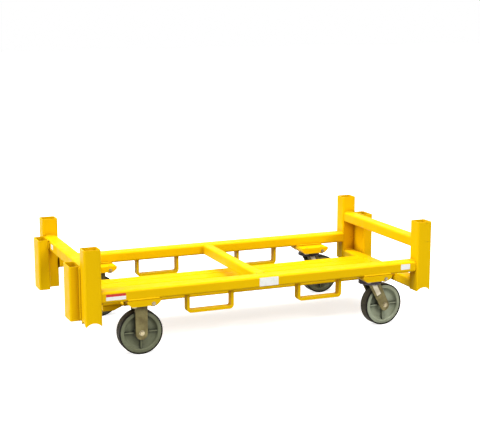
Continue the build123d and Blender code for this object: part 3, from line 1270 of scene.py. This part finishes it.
@dataclass(frozen=True)
class Label:
    """Plain label on an upright face, with nothing printed but a bar of colour at most."""

    name: str
    middle: Point
    width: float
    height: float
    outward: Point = (0.0, -1.0, 0.0)
    stripe_share: float = 0.0
    thickness: float = 0.35 * MM
    corner: float = 3.0 * MM

    def build(self, finishes: Finishes) -> None:
        """Make the film, and the bar of colour along its top where it has one.

        Args:
            finishes: Materials of the cart.
        """
        half = self.height / 2
        line = half - self.height * self.stripe_share
        self.film(self.name, -half, line, finishes.label)
        if self.stripe_share:
            self.film(self.name + "_bar", line, half, finishes.stripe)

    def film(self, name: str, low: float, high: float, finish: Material) -> None:
        """Make one rectangle of film with rounded corners.

        Args:
            name: Name of the object.
            low: Lower edge, from the label's middle.
            high: Upper edge, from the label's middle.
            finish: Its material.
        """
        part = block((self.width, high - low, self.thickness), (0.0, (low + high) / 2, self.thickness / 2))
        uprights = [e for e in part.edges if rise(e) > self.thickness / 2]
        bevelled(part, uprights, min(self.corner, (high - low) / 3), segments=4)
        facing, up = Vector(self.outward), Vector((0, 0, 1))
        turn = Matrix((up.cross(facing), up, facing)).transposed().to_4x4()
        piece = Piece(name)
        piece.take(Matrix.Translation(self.middle) @ turn, part)
        piece.finish("frame", finish)


def build_labels(finishes: Finishes) -> None:
    """Put the plain labels on the near side rail and the left end rail.

    Args:
        finishes: Materials of the cart.
    """
    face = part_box("side_rail_front")[0].y
    end_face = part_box("end_rail_left")[0].x
    labels = (
        Label("label_left", (-0.719, face, 0.2895), 0.090, 0.028, stripe_share=0.42),
        Label("label_middle", (0.0085, face, 0.2900), 0.094, 0.040),
        Label("label_right", (0.7265, face, 0.2925), 0.050, 0.026),
        Label("label_end", (end_face, 0.190, 0.4025), 0.040, 0.024, (-1.0, 0.0, 0.0)),
    )
    for label in labels:
        label.build(finishes)


# Studio


@dataclass(frozen=True)
class Lamp:
    """Wide soft lamp far away, with its angles in degrees and its light on a face square to it."""

    name: str
    azimuth: float
    elevation: float
    spread: float
    strength: float
    distance: float = 5.0

    def build(self) -> None:
        """Hang the lamp, at its azimuth from the front, where the left is negative."""
        data = bpy.data.lights.new(self.name, "SUN")
        data.angle = math.radians(self.spread)
        data.energy = self.strength
        turn, lift = math.radians(self.azimuth), math.radians(self.elevation)
        toward = Vector((math.sin(turn) * math.cos(lift), -math.cos(turn) * math.cos(lift), math.sin(lift)))
        placed_object(self.name, data).matrix_world = aimed(toward * self.distance, toward)


@dataclass(frozen=True)
class Studio:
    """Pale floor, soft lights and the camera at the photograph's viewing angle."""

    eye: Point = (-2.0694, -5.1083, 1.5571)
    target: Point = (0.0358, 0.0, 0.4984)
    roll: float = -0.099
    lens: float = 86.34
    view_depth: float = 100.0
    floor_size: float = 60.0
    floor_colour: Colour = (0.82, 0.82, 0.82)
    floor_bounce: Colour = (0.22, 0.215, 0.21)
    floor_glow: float = 0.72
    ambient: float = 0.32
    lamps: tuple[Lamp, ...] = (
        Lamp("overhead_lamp", -60.0, 74.0, 50.0, 2.8),
        Lamp("left_lamp", -88.0, 35.0, 45.0, 1.7),
        Lamp("front_lamp", 28.0, 40.0, 25.0, 1.45),
    )

    def build(self) -> None:
        """Set up the camera, the floor, the world and the lamps."""
        self.camera()
        self.floor()
        self.world()
        for lamp in self.lamps:
            lamp.build()
        bpy.context.scene.view_settings.view_transform = "Standard"

    def camera(self) -> None:
        """Place the camera where the photograph was taken from."""
        data = bpy.data.cameras.new("camera")
        data.lens = self.lens
        data.clip_end = self.view_depth
        made = placed_object("camera", data)
        facing = aimed(self.eye, Vector(self.target) - Vector(self.eye), "-Z")
        made.matrix_world = facing @ Matrix.Rotation(math.radians(self.roll), 4, "Z")
        bpy.context.scene.camera = made

    def floor(self) -> None:
        """Lay a pale floor that is white to the camera and sends little light back up."""
        mesh = bmesh.new()
        bmesh.ops.create_grid(mesh, x_segments=1, y_segments=1, size=self.floor_size / 2)
        data = settled(mesh, "floor")
        made = placed_object("floor", data)
        material = bpy.data.materials.new("pale_floor")
        material.use_nodes = True
        n = Nodes(material.node_tree)
        lit = n.plug(n.node("ShaderNodeBsdfDiffuse"), color=self.floor_colour)
        glow = n.plug(n.node("ShaderNodeEmission"), strength=self.floor_glow)
        seen = n.plug(n.node("ShaderNodeAddShader"), lit.outputs[0], glow.outputs[0])
        unseen = n.plug(n.node("ShaderNodeBsdfDiffuse"), color=self.floor_bounce)
        mix = n.plug(n.node("ShaderNodeMixShader"), n.direct_view(), unseen.outputs[0], seen.outputs[0])
        n.plug(n.node("ShaderNodeOutputMaterial"), mix.outputs[0])
        data.materials.append(material)

    def world(self) -> None:
        """Light the cart from all round, in front of a white backdrop."""
        world = bpy.data.worlds.new("studio_world")
        bpy.context.scene.world = world
        world.use_nodes = True
        n = Nodes(world.node_tree)
        strength = n.plug(n.node("ShaderNodeMapRange"), value=n.direct_view(), to_min=self.ambient)
        background = n.plug(n.node("ShaderNodeBackground"), color=WHITE, strength=strength.outputs[0])
        n.plug(n.node("ShaderNodeOutputWorld"), background.outputs[0])


def dress(frame: dict, finishes: Finishes) -> None:
    """Give every solid of the frame the finish of its material slot.

    Args:
        finishes: Materials of the cart.
    """
    slots = {part["node"]: part["material_slot"] for part in frame["record"]["subparts"]}
    for name, node in frame["nodes"].items():
        node.data.materials.clear()
        node.data.materials.append(finishes.slots[slots[name]])
        LOG.info("%s: %s", name, slots[name])


def main() -> None:
    """Build the dressed cart and its studio."""
    logging.basicConfig(level=logging.INFO, format="%(name)s %(message)s")
    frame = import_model()
    finishes = Finishes()
    dress(frame, finishes)
    Weldment(finishes).build()
    Casters(finishes, frame).build()
    build_labels(finishes)
    Studio().build()


if __name__ == "__main__":
    main()
